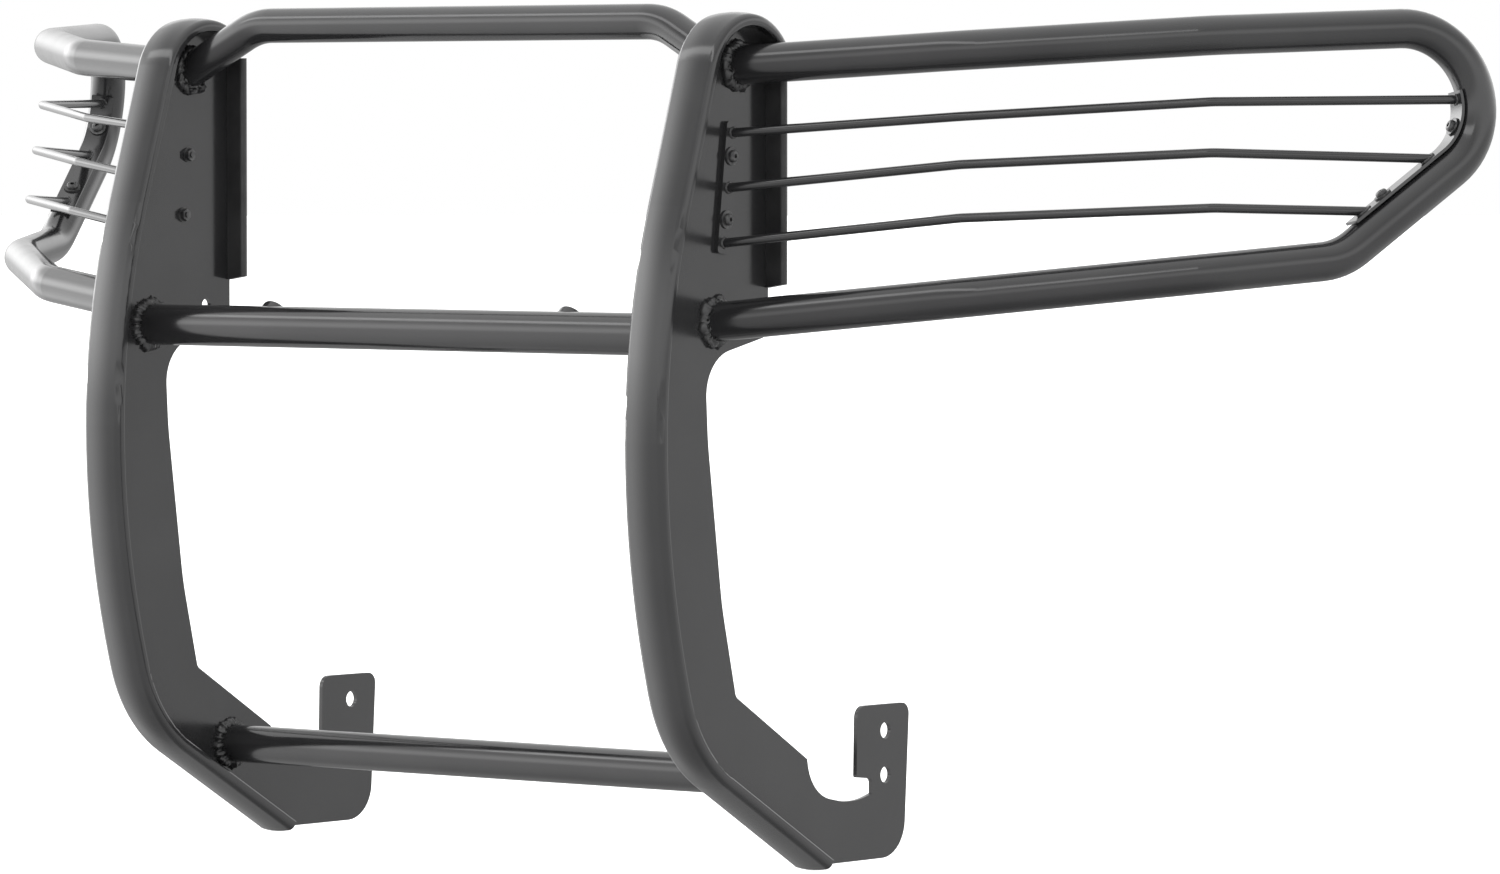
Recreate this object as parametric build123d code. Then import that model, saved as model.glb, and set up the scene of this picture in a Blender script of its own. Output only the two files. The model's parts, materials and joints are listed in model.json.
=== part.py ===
from build123d import *
import os
from math import cos, radians, sin, sqrt, tan

# Front grille guard for a pickup truck, in millimetres.
# +X is across the vehicle, -Y is forward, +Z is up.
# Origin: midway between the two mounting tabs, level with the middle of their bolt holes.
# The right half (+X) is modelled and mirrored about the YZ plane.

# ---------------------------------------------------------------- driving dimensions
RISER_SPACING = 704.0          # between the middles of the two riser plates
PLATE_T = 4.5                  # riser plate thickness

# bolt-on tab at the rear foot of each riser
TAB_HOLE_D = 16.5
TAB_HOLE_SPACING = 44.0
TAB_HOLE_Y = 2.5
BRACE_HOLE_D = 13.0            # upper brace hole near the rear edge
BRACE_HOLE_Y = -220.5
BRACE_HOLE_Z = 437.5

# half-oval cap along the front edge of each riser
CAP_WIDTH = 48.0
CAP_FLANK = 10.5               # depth of the flat side
CAP_CROWN = 3.0                # how far the middle stands ahead of the edges
CAP_WALL = 2.0
CAP_EDGE_R = 7.0
CAP_HEEL_R = 2.5
CAP_PLUG_T = 3.0
DRAIN_SLIT_L = 14.0
DRAIN_SLIT_W = 2.4

# line of the cap's front edge, from the rear of the arch round to the toe
ARCH_CENTRE = (-233.8, 661.5)  # Y, Z
ARCH_R = 65.5
ARCH_START = 33.0              # degrees above the horizontal, behind the centre
UPPER_RAKE = 17.7              # lean of the upper run from the vertical
UPPER_RUN = 145.0
UPPER_BOW_R = 740.0
LOWER_BOW_R = 870.0
LOWER_RAKE = 15.7
LOWER_RUN = 10.0
CHIN_R = 150.0
CHIN_TURN = 44.6
TOE_RUN = 180.5

# tubes
TUBE_D = 38.1
TUBE_WALL = 2.0
TUBE_BEND_R = 76.0
MIDDLE_BAR_D = 41.3
MIDDLE_BAR_AT = (-305.7, 419.5)
LOWER_BAR_AT = (-185.5, -12.8)
HOOP_D = 34.9
HOOP_CORNER = (264.5, -236.0, 721.5)  # bend corners here and below are X, Y, Z
HOOP_FOOT = (-243.0, 676.5)    # Y, Z where the hoop meets the riser plate

# wing: two bends in plan, then an end panel in one leaning vertical plane
WING_TOP_FOOT = (-233.0, 678.5)
WING_LOW_FOOT = (-266.5, 431.5)
WING_TOP_BEND = (572.5, -166.0, 692.0)
WING_LOW_BEND = (594.5, -194.5, 456.5)
PANEL_CORNER = (761.5, -15.5, 706.5)
PANEL_SWEEP = 61.0             # degrees back from the X axis
PANEL_LEAN = 7.6               # the foot of the panel stands further out
PANEL_TOP_RISE = 2.1           # slope of the top run, degrees
PANEL_DIAGONAL = 35.1          # slope of the rear diagonal, degrees
PANEL_LOW_RISE = 4.7           # slope of the bottom run, degrees
PANEL_R = 75.0                 # round the rear end of the loop
PANEL_ELBOW = (121.5, -216.5)  # along and up the panel from its corner
PANEL_LOW_CORNER = (-14.0, -228.0)

# lamp guard insert: three rods between a straight bracket and a curved strip
ROD_D = 9.0
ROD_BEND_R = 26.0
BRACKET_W = 20.0
BRACKET_T = 4.5
BRACKET_MID_Y = -251.5
BRACKET_MID_Z = 560.5
BRACKET_LENGTH = 128.0
BRACKET_LEAN = 6.9             # top of the bracket leans back
ROD_PITCH = 53.0               # along the bracket
ROD_BENDS = (                  # upper, middle and lower rod
    (570.0, -163.0, 629.0),
    (576.0, -170.5, 583.2),
    (580.0, -176.0, 532.2),
)
# bends and ends of the same rods, along and up the end panel
ROD_PANEL_BENDS = ((-4.5, -64.0), (-7.5, -113.0), (-9.5, -166.0))
ROD_PANEL_ENDS = ((262.0, -61.5), (226.0, -119.0), (160.0, -170.0))
STRIP_W = 24.0
STRIP_T = 3.0
STRIP_START = 15.0             # degrees round the loop from the level
STRIP_RUN = 120.0              # straight part along the diagonal
STRIP_SCREW_ANGLE = -23.0
STRIP_SCREW_RUN = 76.0

# fasteners
SCREW_D = 6.0
SCREW_HOLE_D = 6.6
HEAD_D = 12.0
HEAD_T = 4.0
SOCKET_D = 4.6
SOCKET_DEPTH = 2.4
WASHER_D = 18.0
WASHER_T = 1.6
NUT_FLATS = 11.0
NUT_T = 6.0
NUT_FLANGE_D = 15.0
NUT_FLANGE_T = 1.4
BRACKET_BOLT_PITCH = 61.0
INSERT_D = 9.0
INSERT_L = 15.0
INSERT_COLLAR_D = 12.5
INSERT_COLLAR_T = 4.0

# rubber edge moulding behind each riser
MOULDING_GRIP = 3.4            # how far it laps onto the plate's rear edge
MOULDING_T = 9.0
MOULDING_HALF_W = 23.7
MOULDING_EDGE_R = 4.3          # well rounded long edges
MOULDING_BOTTOM = 463.0
MOULDING_TOP = 689.5
MOULDING_CUT = 9.0             # degrees; the lower end slopes up away from the plate
MOULDING_CLEARANCE = 1.0       # round the tubes that pass it

# domed plugs on the middle crossbar
PLUG_D = 30.0
PLUG_RISE = 3.0
PLUG_STEM_D = 16.0
PLUG_STEM_L = 8.0
PLUG_X = 193.0
PLUG_TILT = 50.0               # back from the vertical

# ---------------------------------------------------------------- derived sizes
PLATE_X = RISER_SPACING / 2
OUTER_FACE = PLATE_X + PLATE_T / 2
INNER_FACE = PLATE_X - PLATE_T / 2
PLATE_REAR_Y = -185.0
FAR = 400.0                    # larger than anything that is trimmed


def heading(degrees):
    """Unit vector in a drawing plane, counter-clockwise from its first axis."""
    return (cos(radians(degrees)), sin(radians(degrees)))


def side_plane(x):
    """Drawing plane across the vehicle: first axis is Y, second axis is Z."""
    return Plane(origin=(x, 0, 0), x_dir=(0, 1, 0), z_dir=(1, 0, 0))


def tube_along(route, diameter, wall=None):
    """Round bar or tube swept along a route of straight runs and tangent bends."""
    start = Plane(origin=route @ 0, z_dir=route % 0)
    section = Circle(diameter / 2)
    if wall:
        section = section - Circle(diameter / 2 - wall)
    return sweep(start * section, path=route)


def run_past(point, toward, distance):
    """Point moved away from the next one, so the tube's end can be trimmed to a face."""
    point = Vector(*point)
    return point + (point - Vector(*toward)).normalized() * distance


def mirrored(part):
    return part.mirror(Plane.YZ)


def write(name, solids):
    """One STEP file for each sub-part."""
    shape = Compound(children=solids) if isinstance(solids, list) else solids
    export_step(shape, f"parts/{name}.step")


def write_pair(name, part):
    write(f"right_{name}", part)
    write(f"left_{name}", mirrored(part))


os.makedirs("parts", exist_ok=True)

# ---------------------------------------------------------------- line of the riser's front edge
arch_start = Vector(*ARCH_CENTRE) + Vector(*heading(ARCH_START)) * ARCH_R
arch_turn = 180 - UPPER_RAKE - ARCH_START
arch = JernArc(arch_start, heading(ARCH_START + 90), ARCH_R, arch_turn)
upper_run = Line(arch @ 1, (arch @ 1) + (arch % 1) * UPPER_RUN)
upper_bow = JernArc(upper_run @ 1, upper_run % 1, UPPER_BOW_R, UPPER_RAKE)
lower_bow = JernArc(upper_bow @ 1, upper_bow % 1, LOWER_BOW_R, LOWER_RAKE)
lower_run = Line(lower_bow @ 1, (lower_bow @ 1) + (lower_bow % 1) * LOWER_RUN)
chin = JernArc(lower_run @ 1, lower_run % 1, CHIN_R, CHIN_TURN)
toe_run = Line(chin @ 1, (chin @ 1) + (chin % 1) * TOE_RUN)
front_edges = [arch, upper_run, upper_bow, lower_bow, lower_run, chin, toe_run]
front_line = Wire(front_edges)

# ---------------------------------------------------------------- cap section and sweep
half = CAP_WIDTH / 2
crown = ThreePointArc((half, 0), (0, CAP_CROWN), (-half, 0))
heel = Polyline((-half, 0), (-half, -CAP_FLANK), (half, -CAP_FLANK), (half, 0))
oval = make_face([crown, heel])
front_corners = oval.vertices().filter_by(lambda v: abs(v.Y) < 0.01)
oval = fillet(front_corners, CAP_EDGE_R)
heel_corners = oval.vertices().filter_by(lambda v: v.Y < -CAP_FLANK + 0.01)
oval = fillet(heel_corners, CAP_HEEL_R)
oval_bore = offset(oval, -CAP_WALL, kind=Kind.INTERSECTION)


riser_side = side_plane(PLATE_X)


def on_riser(edge, at):
    """Section plane at one end of an edge of the front line: first axis X, second outward."""
    point = edge @ at
    tangent = edge % at
    origin = Vector(PLATE_X, point.X, point.Y)
    return Plane(origin=origin, x_dir=(1, 0, 0), z_dir=(0, tangent.X, tangent.Y))


riser_path = riser_side * front_line
arch_plane = on_riser(arch, 0)
toe_plane = on_riser(toe_run, 1)
cap_solid = sweep(arch_plane * oval, path=riser_path)
cap_bore = sweep(arch_plane * oval_bore, path=riser_path)
riser_cap = cap_solid - cap_bore

# closing plugs, pushed into both ends of the cap; the toe plug has a drain slit
arch_plug = extrude(arch_plane * oval_bore, CAP_PLUG_T) & cap_bore
toe_plug = extrude(toe_plane * oval_bore, -CAP_PLUG_T)
slit = Pos(0, -CAP_FLANK / 2) * SlotOverall(DRAIN_SLIT_L, DRAIN_SLIT_W)
toe_plug -= extrude(toe_plane * slit, 4 * CAP_PLUG_T, both=True)

# ---------------------------------------------------------------- riser plate
def behind_cap(edge, at):
    """Point on the back face of the cap, opposite a point of the front line."""
    tangent = edge % at
    return (edge @ at) - Vector(tangent.Y, -tangent.X) * CAP_FLANK


# rear outline from the toe, round the tab and the tow-hook notch, up to the arch
rear_corners = (               # Y, Z, corner radius
    (-96, -104.5, 0),          # foot of the plate behind the toe
    (32, -104.5, 37),          # big rounded heel
    (41, 48, 11),              # top rear of the tab
    (-43, 48.3, 12),           # top front of the tab
    (-44.5, -22, 2.5),         # lower front of the tab
    (-19.2, -24.5, 5),         # undercut behind the tow hook
    (-19.2, -39.1, 1),
    (-50.8, -47.4, 110),       # floor of the notch
    (-116.4, -34.6, 44),
    (-123.3, 1.2, 0),          # sharp point ahead of the notch
    (-235, 68.2, 8),           # inner corner of the chin
    (-256.5, 157, 300),
    (-278, 315, 300),
    (-282.5, 395.3, 44),       # top of the leg
    (PLATE_REAR_Y, 416.5, 12),
    (PLATE_REAR_Y, 690.5, 0),
)
rear_outline = FilletPolyline(
    behind_cap(toe_run, 1),
    *[(y, z) for y, z, corner_r in rear_corners],
    behind_cap(arch, 0),
    radius=[corner_r for y, z, corner_r in rear_corners],
)
plate_rim = Wire(
    front_edges
    + [Line(toe_run @ 1, behind_cap(toe_run, 1))]
    + rear_outline.edges()
    + [Line(behind_cap(arch, 0), arch @ 0)]
)
plate_face = side_plane(INNER_FACE) * make_face(plate_rim)
riser_plate = extrude(plate_face, PLATE_T, dir=(1, 0, 0)) - cap_solid


def across(x_from, x_to, y, z, diameter):
    """Round bar along X between two stations."""
    middle = Pos((x_from + x_to) / 2, y, z)
    return middle * Rot(0, 90, 0) * Cylinder(diameter / 2, abs(x_to - x_from))


through = (INNER_FACE - 10, OUTER_FACE + 10)
for z in (-TAB_HOLE_SPACING / 2, TAB_HOLE_SPACING / 2):
    riser_plate -= across(*through, TAB_HOLE_Y, z, TAB_HOLE_D)
riser_plate -= across(*through, BRACE_HOLE_Y, BRACE_HOLE_Z, BRACE_HOLE_D)

# ---------------------------------------------------------------- straps of the lamp guard insert
lean = tan(radians(BRACKET_LEAN))


def on_bracket(rise):
    """Y and Z of a point on the bracket's middle line, by its height above the middle."""
    return (BRACKET_MID_Y + rise * lean, BRACKET_MID_Z + rise)


bracket_outer_x = OUTER_FACE + BRACKET_T
bracket = Box(BRACKET_T, BRACKET_W, BRACKET_LENGTH)
bracket = fillet(bracket.edges().filter_by(Axis.X), 4)
bracket_place = Pos(OUTER_FACE + BRACKET_T / 2, BRACKET_MID_Y, BRACKET_MID_Z)
bracket = bracket_place * Rot(-BRACKET_LEAN, 0, 0) * bracket
bolt_rises = (BRACKET_BOLT_PITCH / 2, -BRACKET_BOLT_PITCH / 2)
for rise in bolt_rises:
    bracket -= across(*through, *on_bracket(rise), SCREW_HOLE_D)
    riser_plate -= across(*through, *on_bracket(rise), SCREW_HOLE_D)

# ---------------------------------------------------------------- end panel of the wing
panel_along = Vector(cos(radians(PANEL_SWEEP)), sin(radians(PANEL_SWEEP)), 0)
panel_side = Vector(sin(radians(PANEL_SWEEP)), -cos(radians(PANEL_SWEEP)), 0)
panel_up = Vector(0, 0, 1) * cos(radians(PANEL_LEAN)) - panel_side * sin(radians(PANEL_LEAN))
panel_face = panel_along.cross(panel_up)
panel = Plane(origin=PANEL_CORNER, x_dir=panel_along, z_dir=panel_face)


def on_panel(point):
    return panel.from_local_coords(Vector(*point))


# the loop's two straight runs meet at this point of the panel
top_slope = tan(radians(PANEL_TOP_RISE))
diagonal_slope = tan(radians(PANEL_DIAGONAL))
diagonal_drop = PANEL_ELBOW[1] - PANEL_ELBOW[0] * diagonal_slope
meet_u = diagonal_drop / (top_slope - diagonal_slope)
panel_tip = (meet_u, meet_u * top_slope)

wing_route = FilletPolyline(
    run_past((OUTER_FACE, *WING_TOP_FOOT), WING_TOP_BEND, TUBE_D / 2),
    WING_TOP_BEND,
    on_panel((0, 0)),
    on_panel(panel_tip),
    on_panel(PANEL_ELBOW),
    on_panel(PANEL_LOW_CORNER),
    WING_LOW_BEND,
    run_past((OUTER_FACE, *WING_LOW_FOOT), WING_LOW_BEND, TUBE_D / 2),
    radius=[TUBE_BEND_R, TUBE_BEND_R, PANEL_R, PANEL_R, TUBE_BEND_R, TUBE_BEND_R],
)
wing_tube = tube_along(wing_route, TUBE_D, TUBE_WALL)
inboard_half = Pos(OUTER_FACE - FAR / 2, 0, FAR) * Box(FAR, 2 * FAR, 3 * FAR)
outboard_half = Pos(INNER_FACE + FAR / 2, 0, FAR) * Box(FAR, 2 * FAR, 3 * FAR)
wing_tube -= inboard_half

# ---------------------------------------------------------------- curved strip inside the loop
tip_half_angle = (PANEL_DIAGONAL - PANEL_TOP_RISE) / 2
tip_to_centre = PANEL_R / sin(radians(tip_half_angle))
loop_centre = Vector(*panel_tip) + tip_to_centre * Vector(
    *heading(180 + PANEL_TOP_RISE + tip_half_angle)
)
strip_mid_r = PANEL_R - TUBE_D / 2 - STRIP_T / 2
strip_turn = -(90 - PANEL_DIAGONAL) - STRIP_START
strip_begin = loop_centre + Vector(*heading(STRIP_START)) * strip_mid_r
strip_arc = JernArc(strip_begin, heading(STRIP_START - 90), strip_mid_r, strip_turn)
strip_straight = Line(strip_arc @ 1, (strip_arc @ 1) + (strip_arc % 1) * STRIP_RUN)
strip_path = panel * Wire([strip_arc, strip_straight])
strip_section_plane = Plane(origin=strip_path @ 0, x_dir=panel_face, z_dir=strip_path % 0)
strip = sweep(strip_section_plane * Rectangle(STRIP_W, STRIP_T), path=strip_path)


def strip_seat(local_point, inward_angle):
    """Plane on the strip's inner face, facing into the loop."""
    inward = panel_along * cos(radians(inward_angle)) + panel_up * sin(radians(inward_angle))
    return Plane(origin=on_panel(local_point), x_dir=panel_face, z_dir=inward)


strip_inner_r = strip_mid_r - STRIP_T / 2
arc_seat_point = loop_centre + Vector(*heading(STRIP_SCREW_ANGLE)) * strip_inner_r
run_seat_point = (
    (strip_straight @ 0)
    + (strip_straight % 0) * STRIP_SCREW_RUN
    + Vector(*heading(PANEL_DIAGONAL + 90)) * (STRIP_T / 2)
)
strip_seats = [
    strip_seat(arc_seat_point, STRIP_SCREW_ANGLE + 180),
    strip_seat(run_seat_point, PANEL_DIAGONAL + 90),
]
# a flat washer bridges the hollow of the curved part
washer_lift = strip_inner_r - sqrt(strip_inner_r ** 2 - (WASHER_D / 2) ** 2)
washer_lifts = [washer_lift, 0]

# ---------------------------------------------------------------- rods
outward = TUBE_D                 # everything from the strip's inner face outward
beyond_strip = sweep(
    strip_section_plane * Pos(0, STRIP_T / 2 - outward / 2) * Rectangle(2 * STRIP_W, outward),
    path=strip_path,
)
behind_bracket = Pos(bracket_outer_x - FAR / 2, 0, FAR) * Box(FAR, 2 * FAR, 3 * FAR)
rods = []
for i, rise in enumerate((ROD_PITCH, 0, -ROD_PITCH)):
    rod_route = FilletPolyline(
        run_past((bracket_outer_x, *on_bracket(rise)), ROD_BENDS[i], ROD_D),
        ROD_BENDS[i],
        on_panel(ROD_PANEL_BENDS[i]),
        on_panel(ROD_PANEL_ENDS[i]),
        radius=ROD_BEND_R,
    )
    rods.append(tube_along(rod_route, ROD_D) - behind_bracket - beyond_strip)

# ---------------------------------------------------------------- fasteners
def button_screw(length):
    """Button-head screw: the head's flat underside is at Z=0, the shank runs down."""
    shank = Pos(0, 0, -length / 2) * Cylinder(SCREW_D / 2, length)
    head = Pos(0, 0, HEAD_T / 2) * Cylinder(HEAD_D / 2, HEAD_T)
    head = fillet(head.edges().group_by(Axis.Z)[-1], HEAD_T * 0.7)
    socket = extrude(Pos(0, 0, HEAD_T) * RegularPolygon(SOCKET_D / 2, 6), -SOCKET_DEPTH)
    return head + shank - socket


def washer():
    ring = Cylinder(WASHER_D / 2, WASHER_T) - Cylinder(SCREW_HOLE_D / 2, WASHER_T)
    return Pos(0, 0, WASHER_T / 2) * ring


def flange_nut():
    """Flanged hexagon nut seated at Z=0."""
    flange = Pos(0, 0, NUT_FLANGE_T / 2) * Cylinder(NUT_FLANGE_D / 2, NUT_FLANGE_T)
    body = extrude(RegularPolygon(NUT_FLATS / 2, 6, major_radius=False), NUT_T)
    return flange + body - Cylinder(SCREW_D / 2, 4 * NUT_T)


def threaded_insert():
    """Blind-fixing insert: a sleeve through the tube wall with a collar behind it."""
    sleeve = Pos(0, 0, -INSERT_L / 2) * Cylinder(INSERT_D / 2, INSERT_L)
    bore_r = TUBE_D / 2 - TUBE_WALL
    collar_depth = TUBE_D / 2 - sqrt(bore_r ** 2 - (INSERT_COLLAR_D / 2) ** 2)
    collar_z = -collar_depth - INSERT_COLLAR_T / 2
    collar = Pos(0, 0, collar_z) * Cylinder(INSERT_COLLAR_D / 2, INSERT_COLLAR_T)
    return sleeve + collar - Cylinder(SCREW_D / 2, 4 * INSERT_L)


bracket_bolt_l = WASHER_T + BRACKET_T + PLATE_T + NUT_T + 1.5
strip_screw_l = WASHER_T + STRIP_T + INSERT_L - 1
bracket_bolts = []
bracket_washers = []
nuts = []
for rise in bolt_rises:
    y, z = on_bracket(rise)
    outer_seat = Plane(origin=(bracket_outer_x, y, z), z_dir=(1, 0, 0))
    inner_seat = Plane(origin=(INNER_FACE, y, z), z_dir=(-1, 0, 0))
    bracket_washers.append(outer_seat * washer())
    bracket_bolts.append(outer_seat.offset(WASHER_T) * button_screw(bracket_bolt_l))
    nuts.append(inner_seat * flange_nut())

strip_screws = []
strip_washers = []
inserts = []
for seat, lift in zip(strip_seats, washer_lifts):
    strip -= seat * Cylinder(SCREW_HOLE_D / 2, 6 * STRIP_T)
    tube_wall = seat.offset(-STRIP_T)
    wing_tube -= tube_wall * Pos(0, 0, -TUBE_WALL) * Cylinder(INSERT_D / 2, 6 * TUBE_WALL)
    strip_washers.append(seat.offset(lift) * washer())
    strip_screws.append(seat.offset(lift + WASHER_T) * button_screw(strip_screw_l))
    inserts.append(tube_wall * threaded_insert())

# ---------------------------------------------------------------- crossbars and upper hoop
hoop_x, hoop_y, hoop_z = HOOP_CORNER
hoop_route = FilletPolyline(
    run_past((-INNER_FACE, *HOOP_FOOT), (-hoop_x, hoop_y, hoop_z), HOOP_D),
    (-hoop_x, hoop_y, hoop_z),
    (hoop_x, hoop_y, hoop_z),
    run_past((INNER_FACE, *HOOP_FOOT), (hoop_x, hoop_y, hoop_z), HOOP_D),
    radius=TUBE_BEND_R,
)
upper_hoop = tube_along(hoop_route, HOOP_D, TUBE_WALL)
upper_hoop -= outboard_half
upper_hoop -= mirrored(outboard_half)


def crossbar(y, z, diameter):
    """Straight tube between the risers' inner faces."""
    outside = across(-INNER_FACE, INNER_FACE, y, z, diameter)
    return outside - across(-INNER_FACE, INNER_FACE, y, z, diameter - 2 * TUBE_WALL)


middle_crossbar = crossbar(*MIDDLE_BAR_AT, MIDDLE_BAR_D)
lower_crossbar = crossbar(*LOWER_BAR_AT, TUBE_D)

# domed plugs that close the holes in the middle crossbar
crossbar_plugs = []
for x in (-PLUG_X, PLUG_X):
    plug_axis = (0, sin(radians(PLUG_TILT)), cos(radians(PLUG_TILT)))
    bar_axis = Plane(origin=(x, *MIDDLE_BAR_AT), x_dir=(1, 0, 0), z_dir=plug_axis)
    top = MIDDLE_BAR_D / 2 + PLUG_RISE
    dome = extrude(Circle(PLUG_D / 2), top)
    dome = fillet(dome.edges().group_by(Axis.Z)[-1], PLUG_RISE * 0.8)
    solid_bar = Rot(0, 90, 0) * Cylinder(MIDDLE_BAR_D / 2, 2 * PLUG_D)
    dome -= solid_bar
    stem_middle = MIDDLE_BAR_D / 2 - PLUG_STEM_L / 2 + PLUG_RISE / 2
    stem = Pos(0, 0, stem_middle) * Cylinder(PLUG_STEM_D / 2, PLUG_STEM_L)
    hole = Pos(0, 0, MIDDLE_BAR_D / 2) * Cylinder(PLUG_STEM_D / 2, MIDDLE_BAR_D / 2)
    middle_crossbar -= bar_axis * hole
    crossbar_plugs.append(bar_axis * (dome + stem))

# ---------------------------------------------------------------- rubber edge moulding
moulding_h = MOULDING_TOP - MOULDING_BOTTOM
moulding_mid_z = (MOULDING_TOP + MOULDING_BOTTOM) / 2
moulding_mid_y = PLATE_REAR_Y - MOULDING_GRIP + MOULDING_T / 2
moulding = Box(2 * MOULDING_HALF_W, MOULDING_T, moulding_h)
moulding = fillet(moulding.edges().filter_by(Axis.Z), MOULDING_EDGE_R)
moulding = Pos(PLATE_X, moulding_mid_y, moulding_mid_z) * moulding
from_plate_down = (Align.MIN, Align.CENTER, Align.MAX)
below_end = Box(4 * MOULDING_HALF_W, 2 * MOULDING_T, MOULDING_HALF_W, align=from_plate_down)
lower_end = Pos(PLATE_X, moulding_mid_y, MOULDING_BOTTOM)
for turn in (0, 180):
    moulding -= lower_end * Rot(0, 0, turn) * Rot(0, -MOULDING_CUT, 0) * below_end
moulding -= riser_plate
# clearance round the wing tube and the hoop where they cross the moulding
tube_legs = (
    ((OUTER_FACE, *WING_TOP_FOOT), WING_TOP_BEND),
    ((INNER_FACE, *HOOP_FOOT), HOOP_CORNER),
)
for foot, bend in tube_legs:
    leg = Plane(origin=foot, z_dir=Vector(*bend) - Vector(*foot))
    moulding -= leg * Cylinder(TUBE_D / 2 + MOULDING_CLEARANCE, 3 * MOULDING_HALF_W)

# ---------------------------------------------------------------- files
write_pair("riser_plate", riser_plate)
write_pair("riser_cap", riser_cap)
write_pair("cap_arch_plug", arch_plug)
write_pair("cap_toe_plug", toe_plug)
write_pair("edge_moulding", moulding)
write_pair("wing_tube", wing_tube)
for level, rod in zip(("upper", "middle", "lower"), rods):
    write_pair(f"{level}_rod", rod)
write_pair("insert_bracket", bracket)
write_pair("insert_strip", strip)
write("upper_hoop", upper_hoop)
write("middle_crossbar", middle_crossbar)
write("lower_crossbar", lower_crossbar)
write("crossbar_plugs", crossbar_plugs)

fastener_groups = {
    "bracket_bolts": bracket_bolts,
    "bracket_washers": bracket_washers,
    "flange_nuts": nuts,
    "strip_screws": strip_screws,
    "strip_washers": strip_washers,
    "threaded_inserts": inserts,
}
for name, group in fastener_groups.items():
    write(name, group + [mirrored(piece) for piece in group])
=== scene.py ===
import json
import math

import bmesh
import bpy
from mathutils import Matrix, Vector, noise

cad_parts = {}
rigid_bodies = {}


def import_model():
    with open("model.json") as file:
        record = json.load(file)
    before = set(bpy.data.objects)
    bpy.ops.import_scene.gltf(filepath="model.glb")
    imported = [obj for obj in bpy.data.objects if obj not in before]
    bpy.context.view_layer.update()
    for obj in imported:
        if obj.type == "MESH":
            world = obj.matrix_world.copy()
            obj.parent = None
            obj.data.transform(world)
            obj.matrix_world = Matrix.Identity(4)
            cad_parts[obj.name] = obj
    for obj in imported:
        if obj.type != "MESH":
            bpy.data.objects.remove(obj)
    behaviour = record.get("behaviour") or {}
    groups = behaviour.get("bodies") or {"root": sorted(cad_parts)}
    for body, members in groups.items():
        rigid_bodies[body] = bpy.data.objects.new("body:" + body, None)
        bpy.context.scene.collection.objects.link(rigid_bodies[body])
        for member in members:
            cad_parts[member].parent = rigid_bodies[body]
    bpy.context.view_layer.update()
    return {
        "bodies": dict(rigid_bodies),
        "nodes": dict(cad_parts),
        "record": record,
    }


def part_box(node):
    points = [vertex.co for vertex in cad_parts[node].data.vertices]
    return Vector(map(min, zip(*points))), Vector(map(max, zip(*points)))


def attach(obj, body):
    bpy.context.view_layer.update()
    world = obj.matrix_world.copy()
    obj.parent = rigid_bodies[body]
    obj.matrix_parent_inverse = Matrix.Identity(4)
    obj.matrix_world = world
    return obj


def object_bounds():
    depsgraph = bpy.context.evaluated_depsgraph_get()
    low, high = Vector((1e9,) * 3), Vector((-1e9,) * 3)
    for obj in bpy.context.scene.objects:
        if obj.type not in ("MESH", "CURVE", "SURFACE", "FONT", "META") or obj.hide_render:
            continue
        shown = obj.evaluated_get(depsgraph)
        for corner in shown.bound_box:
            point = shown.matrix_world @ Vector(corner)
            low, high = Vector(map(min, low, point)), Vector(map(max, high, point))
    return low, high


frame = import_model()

nodes = frame["nodes"]
BODY = next(iter(frame["bodies"]))
SIDES = ("right", "left")


# ------------------------------------------------------------------ materials
def new_material(name):
    mat = bpy.data.materials.new(name)
    mat.use_nodes = True
    tree = mat.node_tree
    shader = tree.nodes["Principled BSDF"]
    return mat, tree, shader


def noise_node(tree, scale, detail=2.0, rough=0.5):
    coords = tree.nodes.new("ShaderNodeTexCoord")
    tex = tree.nodes.new("ShaderNodeTexNoise")
    tex.inputs["Scale"].default_value = scale
    tex.inputs["Detail"].default_value = detail
    tex.inputs["Roughness"].default_value = rough
    tree.links.new(coords.outputs["Object"], tex.inputs["Vector"])
    return tex


def ramp(tree, source, low, high, start=0.35, end=0.65):
    node = tree.nodes.new("ShaderNodeValToRGB")
    node.color_ramp.elements[0].position = start
    node.color_ramp.elements[1].position = end
    node.color_ramp.elements[0].color = (*low, 1) if isinstance(low, tuple) else (low, low, low, 1)
    node.color_ramp.elements[1].color = (*high, 1) if isinstance(high, tuple) else (high, high, high, 1)
    tree.links.new(source.outputs["Fac"], node.inputs["Fac"])
    return node


def bump(tree, source, strength, distance, below=None):
    node = tree.nodes.new("ShaderNodeBump")
    node.inputs["Strength"].default_value = strength
    node.inputs["Distance"].default_value = distance
    tree.links.new(source.outputs["Fac"], node.inputs["Height"])
    if below:
        tree.links.new(below.outputs["Normal"], node.inputs["Normal"])
    return node


def powder_coat(name, dark, light, rough_low, rough_high, peel):
    """Black powder coat: fine orange peel over slow waves, with uneven gloss."""
    mat, tree, shader = new_material(name)
    tone = ramp(tree, noise_node(tree, 7.0, 3.0), dark, light)
    tree.links.new(tone.outputs["Color"], shader.inputs["Base Color"])
    gloss = ramp(tree, noise_node(tree, 24.0, 4.0), rough_low, rough_high)
    tree.links.new(gloss.outputs["Color"], shader.inputs["Roughness"])
    waves = bump(tree, noise_node(tree, 60.0, 1.0), 0.15, 0.00008)
    fine = bump(tree, noise_node(tree, 520.0, 2.0), peel, 0.00003, waves)
    tree.links.new(fine.outputs["Normal"], shader.inputs["Normal"])
    shader.inputs["IOR"].default_value = 1.5
    return mat


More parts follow.
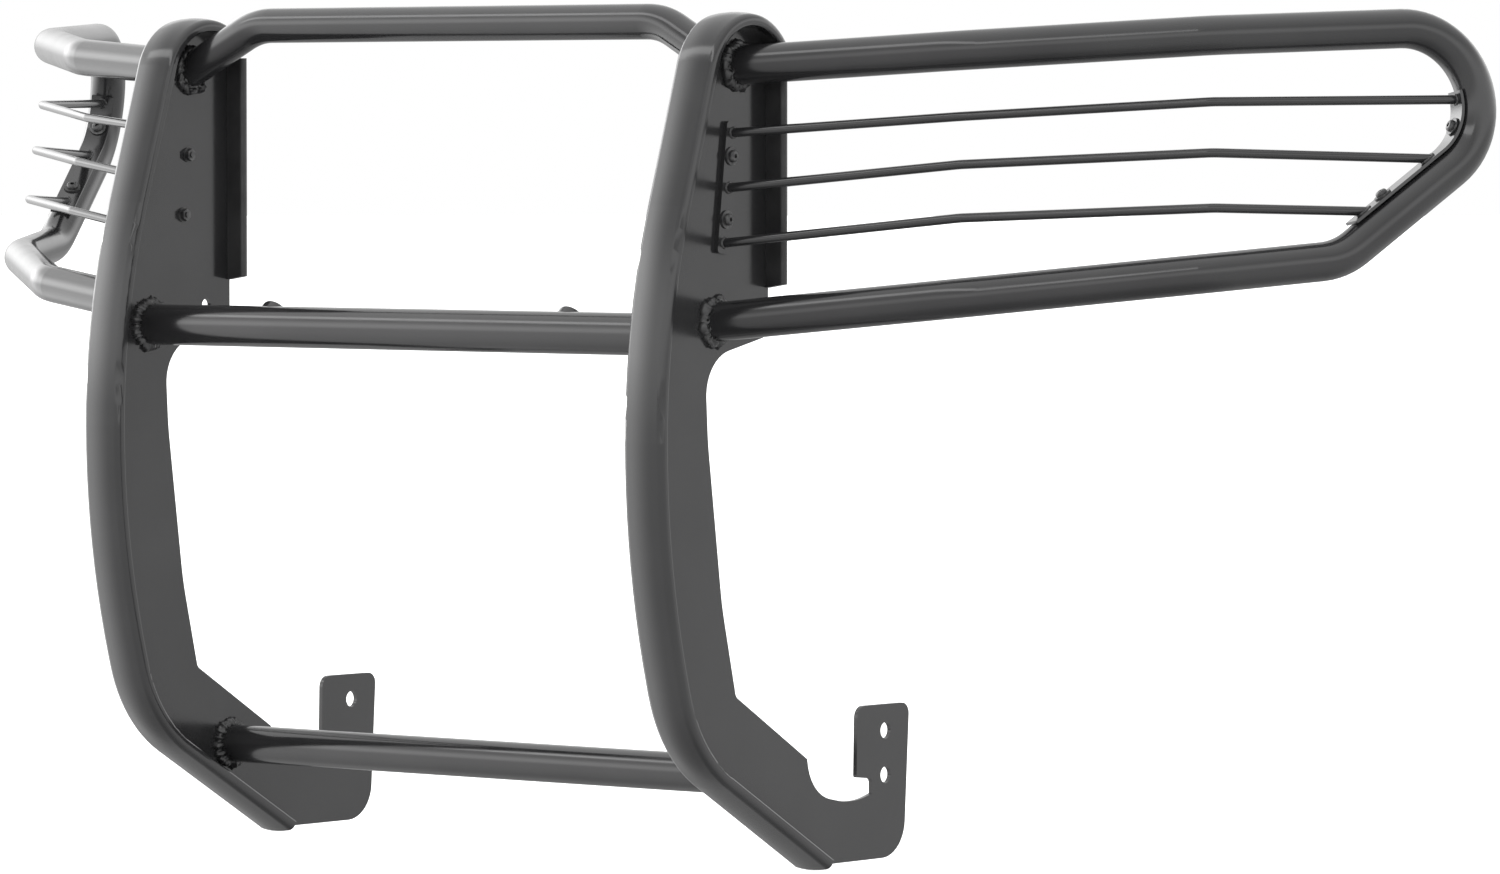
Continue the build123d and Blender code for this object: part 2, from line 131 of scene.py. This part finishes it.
def rubber(name):
    """Extruded rubber: dull, with a fine grain drawn out along its length."""
    mat, tree, shader = new_material(name)
    tone = ramp(tree, noise_node(tree, 30.0, 4.0), (0.010, 0.010, 0.0105), (0.018, 0.018, 0.0185))
    tree.links.new(tone.outputs["Color"], shader.inputs["Base Color"])
    gloss = ramp(tree, noise_node(tree, 90.0, 3.0), 0.38, 0.52)
    tree.links.new(gloss.outputs["Color"], shader.inputs["Roughness"])
    coords = tree.nodes.new("ShaderNodeTexCoord")
    stretch = tree.nodes.new("ShaderNodeMapping")
    stretch.inputs["Scale"].default_value = (900, 900, 40)
    grain = tree.nodes.new("ShaderNodeTexNoise")
    grain.inputs["Scale"].default_value = 1.0
    tree.links.new(coords.outputs["Object"], stretch.inputs["Vector"])
    tree.links.new(stretch.outputs["Vector"], grain.inputs["Vector"])
    wavy = bump(tree, noise_node(tree, 28.0, 2.0), 0.5, 0.0006)
    skin = bump(tree, grain, 0.3, 0.0001, wavy)
    tree.links.new(skin.outputs["Normal"], shader.inputs["Normal"])
    shader.inputs["Specular IOR Level"].default_value = 0.42
    return mat


def black_oxide(name):
    """Satin black screws and nuts, slightly worn to grey in patches."""
    mat, tree, shader = new_material(name)
    tone = ramp(tree, noise_node(tree, 160.0, 4.0), (0.02, 0.02, 0.021), (0.06, 0.06, 0.06))
    tree.links.new(tone.outputs["Color"], shader.inputs["Base Color"])
    gloss = ramp(tree, noise_node(tree, 300.0, 3.0), 0.28, 0.48)
    tree.links.new(gloss.outputs["Color"], shader.inputs["Roughness"])
    scuffs = bump(tree, noise_node(tree, 900.0, 2.0), 0.2, 0.00008)
    tree.links.new(scuffs.outputs["Normal"], shader.inputs["Normal"])
    shader.inputs["Metallic"].default_value = 0.4
    return mat


coat = powder_coat("powder_coat", (0.010, 0.010, 0.0105), (0.014, 0.014, 0.0145), 0.13, 0.19, 0.25)
weld_coat = powder_coat("weld_coat", (0.012, 0.012, 0.0125), (0.022, 0.022, 0.0225), 0.2, 0.4, 0.6)
edge_rubber = rubber("edge_rubber")
fastener_black = black_oxide("fastener_black")

by_slot = {
    "black_powder_coat": coat,
    "edge_rubber": edge_rubber,
    "black_fasteners": fastener_black,
}
for part in frame["record"]["subparts"]:
    node = nodes[part["node"]]
    node.data.materials.clear()
    node.data.materials.append(by_slot[part["material_slot"]])


# ------------------------------------------------------------------ weld beads
SINK = 0.0012                  # how far a bead reaches into the plate under it
NEIGHBOURS = 24                # vertices that show which way a tube or rod comes from
END_FACING = 0.4               # least cosine between an end's faces and its direction
HUB = 0.5                      # share of the mean radius inside which a vertex is not on the rim
ON_PLANE = 5e-5                # how far from a plane a vertex may be and still lie on it
VALLEY = 0.72                  # bead radius between two lumps, as a share of its size
LUMP = 0.34                    # what a lump adds to that in its middle
GRAIN = 420                    # fineness of the bead's skin, per metre


def end_ring(node, picked, count, into=None):
    """Rim of a tube or rod where it meets a plate, with its centre and the way its end faces.

    picked says which of the node's vertices belong to that end.
    """
    mesh = nodes[node].data
    points = [v.co.copy() for v in mesh.vertices]
    near = [p for p in points if picked(p)]
    centre = sum(near, Vector()) / len(near)
    further = sorted((p for p in points if not picked(p)), key=lambda p: (p - centre).length)[:NEIGHBOURS]
    into = into or (centre - sum(further, Vector()) / len(further)).normalized()
    end_faces = [f for f in mesh.polygons if f.normal.dot(into) > END_FACING]
    end_faces = [f for f in end_faces if all(picked(points[k]) for k in f.vertices)]
    rim = [points[k] for f in end_faces for k in f.vertices]
    centre = sum(rim, Vector()) / len(rim)
    across = into.orthogonal().normalized()
    over = into.cross(across)
    by_angle = {}
    for p in rim:
        angle = math.atan2((p - centre).dot(over), (p - centre).dot(across))
        key = round(angle / (2 * math.pi) * count) % count
        reach = (p - centre).length
        if key not in by_angle or reach > by_angle[key][0]:
            by_angle[key] = (reach, p)
    outer = [by_angle[k][1] for k in sorted(by_angle)]
    mean = sum((p - centre).length for p in outer) / len(outer)
    outer = [p for p in outer if (p - centre).length > HUB * mean]
    return resample(outer, count), centre, into


def resample(points, count):
    """Points spaced evenly along a closed line."""
    closed = points + [points[0]]
    lengths = [0.0]
    for a, b in zip(closed, closed[1:]):
        lengths.append(lengths[-1] + (b - a).length)
    result = []
    k = 0
    for i in range(count):
        target = lengths[-1] * i / count
        while lengths[k + 1] < target:
            k += 1
        span = lengths[k + 1] - lengths[k]
        result.append(closed[k].lerp(closed[k + 1], (target - lengths[k]) / span if span else 0))
    return result


def weld_bead(name, ring, size, normal, pitch=0.0075, seed=0.0, sections=16, ragged=0.45):
    """Bead laid round a rim, each lump a puddle that half overlaps the last.

    normal points into the plate, where the bead stays within SINK of the surface.
    ragged is how uneven the bead is, from 0 for smooth.
    """
    rim, centre, into = ring
    normal = normal or into
    count = len(rim)
    total = sum((rim[i] - rim[i - 1]).length for i in range(count))
    lumps = max(6, round(total / pitch))
    mesh = bmesh.new()
    rings = []
    for i, point in enumerate(rim):
        ahead = (rim[(i + 1) % count] - rim[i - 1]).normalized()
        out = (point - centre).normalized()
        up = ahead.cross(out).normalized()
        out = up.cross(ahead)
        around = Vector((math.cos(2 * math.pi * i / count), math.sin(2 * math.pi * i / count), 0))
        spot = around * (total / 0.02)
        wobble = noise.noise(spot * 0.35 + Vector((0, 0, seed)))
        phase = i / count * lumps + 0.3 * wobble
        puddle = abs(math.sin(math.pi * phase))
        swell = ragged * noise.noise(spot * 0.9 + Vector((0, 0, seed + 5)))
        radius = size * (VALLEY + LUMP * puddle + swell)
        shift = out * (0.8 * ragged * size * wobble)
        section = []
        for j in range(sections):
            turn = 2 * math.pi * j / sections
            spoke = out * math.cos(turn) + up * math.sin(turn)
            grain = noise.noise((point + spoke * radius) * GRAIN + Vector((seed, 0, 0)))
            skin = shift + spoke * radius * (1 + ragged * grain)
            skin -= normal * max(0.0, skin.dot(normal) - SINK)
            section.append(mesh.verts.new(point + skin))
        rings.append(section)
    for a in range(count):
        for j in range(sections):
            k = (j + 1) % sections
            b = (a + 1) % count
            mesh.faces.new((rings[a][j], rings[b][j], rings[b][k], rings[a][k]))
    return finish_piece(name, mesh, weld_coat)


def finish_piece(name, mesh, material):
    bmesh.ops.recalc_face_normals(mesh, faces=mesh.faces)
    data = bpy.data.meshes.new(name)
    mesh.to_mesh(data)
    mesh.free()
    for face in data.polygons:
        face.use_smooth = True
    data.materials.append(material)
    piece = bpy.data.objects.new(name, data)
    bpy.context.scene.collection.objects.link(piece)
    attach(piece, BODY)
    return piece


def plate_face(side, outer):
    """X of a riser plate's outer or inner face."""
    low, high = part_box(f"{side}_riser_plate")
    far, near = (high.x, low.x) if side == "right" else (low.x, high.x)
    return far if outer else near


def on_plane(x, low=-9.0, high=9.0):
    """Picks the vertices on the plane X = x between two heights."""
    return lambda p: abs(p.x - x) < ON_PLANE and low < p.z < high


TUBE_WELD = 0.0064             # size of a bead round a tube
ROD_WELD = 0.0015              # size of a bead round a rod
ROD_END_REACH = 0.012          # length of rod that counts as its end
for n, side in enumerate(SIDES):
    outside = plate_face(side, True)
    inside = plate_face(side, False)
    wing_low, wing_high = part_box(f"{side}_wing_tube")
    mid_z = (wing_low.z + wing_high.z) / 2
    outward = Vector((math.copysign(1, outside), 0, 0))
    joints = {                     # node, its end, direction into the plate
        "wing_top": (f"{side}_wing_tube", on_plane(outside, low=mid_z), -outward),
        "wing_low": (f"{side}_wing_tube", on_plane(outside, high=mid_z), -outward),
        "hoop": ("upper_hoop", on_plane(inside), outward),
        "middle_bar": ("middle_crossbar", on_plane(inside), outward),
        "lower_bar": ("lower_crossbar", on_plane(inside), outward),
    }
    for k, (where, (node, picked, normal)) in enumerate(joints.items()):
        ring = end_ring(node, picked, 260, normal)
        weld_bead(f"{side}_weld_{where}", ring, TUBE_WELD, normal, seed=11.0 * n + 2.3 * k)

    for k, level in enumerate(("upper", "middle", "lower")):
        node = f"{side}_{level}_rod"
        reach = [abs(corner.x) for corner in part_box(node)]
        ends = {
            "bracket": lambda p: abs(p.x) < min(reach) + ROD_END_REACH,
            "strip": lambda p: abs(p.x) > max(reach) - ROD_END_REACH,
        }
        for m, (where, picked) in enumerate(ends.items()):
            ring = end_ring(node, picked, 72)
            seed = 40.0 + 11.0 * n + 2.3 * k + 0.7 * m
            weld_bead(f"{node}_weld_{where}", ring, ROD_WELD, None, 0.006, seed, 10, ragged=0.15)


# ------------------------------------------------------------------ floor, light, camera
low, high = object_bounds()
floor_mesh = bmesh.new()
bmesh.ops.create_circle(floor_mesh, cap_ends=True, segments=96, radius=60.0)
floor_data = bpy.data.meshes.new("floor")
floor_mesh.to_mesh(floor_data)
floor_mesh.free()
floor = bpy.data.objects.new("floor", floor_data)
bpy.context.scene.collection.objects.link(floor)
floor.location.z = low.z - 0.0005
floor_mat, _, floor_shader = new_material("floor")
floor_shader.inputs["Base Color"].default_value = (0.5, 0.5, 0.5, 1)
floor_shader.inputs["Emission Color"].default_value = (1, 1, 1, 1)
floor_shader.inputs["Emission Strength"].default_value = 0.9
floor_shader.inputs["Roughness"].default_value = 0.9
floor_shader.inputs["Specular IOR Level"].default_value = 0.1
floor_data.materials.append(floor_mat)
floor.visible_glossy = False

# white studio: a plain backdrop, with light brightest to the left and dimmer straight behind
world = bpy.data.worlds.new("studio")
world.use_nodes = True
sky = world.node_tree
direction = sky.nodes.new("ShaderNodeTexCoord")
split = sky.nodes.new("ShaderNodeSeparateXYZ")
sky.links.new(direction.outputs["Generated"], split.inputs["Vector"])
height = sky.nodes.new("ShaderNodeMapRange")
height.inputs["From Min"].default_value = -1.0
sky.links.new(split.outputs["Z"], height.inputs["Value"])
levels = sky.nodes.new("ShaderNodeValToRGB")
levels.color_ramp.elements[0].position = 0.0
levels.color_ramp.elements[1].position = 1.0
levels.color_ramp.elements[0].color = (0.14, 0.14, 0.14, 1)
levels.color_ramp.elements[1].color = (0.76, 0.76, 0.76, 1)
LEVELS = (                     # height of the direction from straight down (0) to up (1), level
    (0.06, 0.2), (0.18, 0.38), (0.32, 0.45), (0.5, 0.47),
    (0.57, 0.78), (0.64, 0.82), (0.75, 0.42), (0.92, 0.62),
)
for position, level in LEVELS:
    element = levels.color_ramp.elements.new(position)
    element.color = (level, level, level, 1)
sky.links.new(height.outputs["Result"], levels.inputs["Fac"])


def glow(toward, start, end, low, high):
    """Strength that goes from low to high as the direction nears toward."""
    facing = sky.nodes.new("ShaderNodeVectorMath")
    facing.operation = "DOT_PRODUCT"
    facing.inputs[1].default_value = toward
    sky.links.new(direction.outputs["Generated"], facing.inputs[0])
    amount = sky.nodes.new("ShaderNodeMapRange")
    amount.interpolation_type = "SMOOTHSTEP"
    amount.inputs["From Min"].default_value = start
    amount.inputs["From Max"].default_value = end
    amount.inputs["To Min"].default_value = low
    amount.inputs["To Max"].default_value = high
    sky.links.new(facing.outputs["Value"], amount.inputs["Value"])
    return amount


beside = glow((-0.99, -0.14, 0), 0.55, 1.0, 2.6, 7.0)
behind = glow((-0.6, 0.76, -0.25), 0.7, 0.93, 1.0, 0.5)
both = sky.nodes.new("ShaderNodeMath")
both.operation = "MULTIPLY"
sky.links.new(beside.outputs["Result"], both.inputs[0])
sky.links.new(behind.outputs["Result"], both.inputs[1])
studio_light = sky.nodes["Background"]
sky.links.new(levels.outputs["Color"], studio_light.inputs["Color"])
sky.links.new(both.outputs["Value"], studio_light.inputs["Strength"])
backdrop = sky.nodes.new("ShaderNodeBackground")
backdrop.inputs["Color"].default_value = (1, 1, 1, 1)
ray = sky.nodes.new("ShaderNodeLightPath")
choice = sky.nodes.new("ShaderNodeMixShader")
sky.links.new(ray.outputs["Is Camera Ray"], choice.inputs["Fac"])
sky.links.new(studio_light.outputs["Background"], choice.inputs[1])
sky.links.new(backdrop.outputs["Background"], choice.inputs[2])
sky.links.new(choice.outputs["Shader"], sky.nodes["World Output"].inputs["Surface"])
bpy.context.scene.world = world


def softbox(name, place, target, width, height, power):
    lamp = bpy.data.lights.new(name, "AREA")
    lamp.shape = "RECTANGLE"
    lamp.size = width
    lamp.size_y = height
    lamp.energy = power
    box = bpy.data.objects.new(name, lamp)
    bpy.context.scene.collection.objects.link(box)
    box.location = place
    aim = Vector(target) - Vector(place)
    box.rotation_euler = aim.to_track_quat("-Z", "Y").to_euler()
    return box


softbox("strip", (-0.4, -2.6, 3.4), (0.0, -0.2, 0.4), 8.0, 0.8, 60)

camera_data = bpy.data.cameras.new("camera")
camera_data.sensor_fit = "HORIZONTAL"
camera_data.sensor_width = 36.0
camera_data.lens = 191.9
camera_data.clip_start = 0.1
camera_data.clip_end = 200.0
camera = bpy.data.objects.new("camera", camera_data)
bpy.context.scene.collection.objects.link(camera)
camera.location = (5.1702, -6.2656, 0.6155)
camera.rotation_euler = (math.radians(90 - 2.194), 0, math.radians(38.51))
bpy.context.scene.camera = camera
bpy.context.scene.view_settings.view_transform = "Standard"
